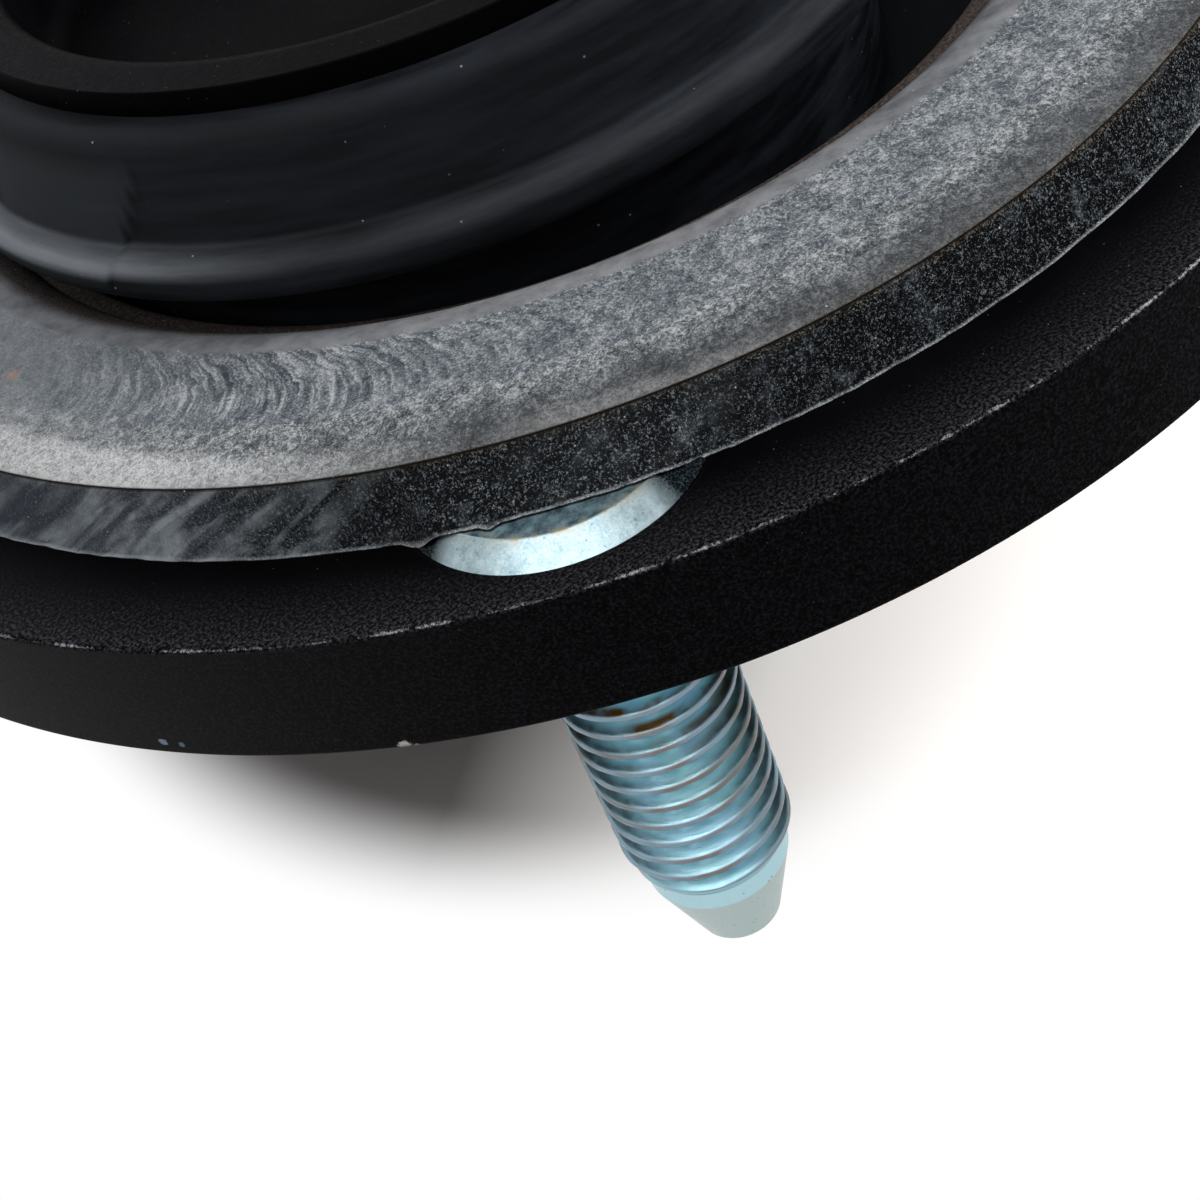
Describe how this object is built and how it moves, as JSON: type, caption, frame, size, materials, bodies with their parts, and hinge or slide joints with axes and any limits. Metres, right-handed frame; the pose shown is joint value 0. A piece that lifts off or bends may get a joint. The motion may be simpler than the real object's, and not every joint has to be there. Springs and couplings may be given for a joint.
{
  "type": "strut top mount",
  "caption": "Round steel plate with press-in studs, a moulded rubber spring seat ring and an off-centre bonded rubber bush with a bolted-through core sleeve.",
  "frame": {"origin": "centre of the stud circle on the face that bolts to the car body", "axes": "+Z along the studs' axes away from the thread ends, towards the spring; +X through one stud"},
  "size_m": [0.11, 0.11, 0.0525],
  "materials": {
    "black_coated_steel": "satin",
    "zinc_plated_steel": "semi-bright",
    "plain_steel": "turned",
    "seat_rubber": "matt with bloom",
    "bush_rubber": "matt"
  },
  "bodies": {
    "root": {"mounting_plate": "black_coated_steel", "stud_1": "zinc_plated_steel", "stud_2": "zinc_plated_steel", "stud_3": "zinc_plated_steel", "bush_shell": "black_coated_steel", "spring_seat_ring": "seat_rubber", "bush_rubber": "bush_rubber", "core_plate": "plain_steel", "core_sleeve": "plain_steel", "bump_stop_cup": "black_coated_steel", "rebound_buffer": "bush_rubber", "rebound_washer": "zinc_plated_steel"}
  },
  "joints": []
}
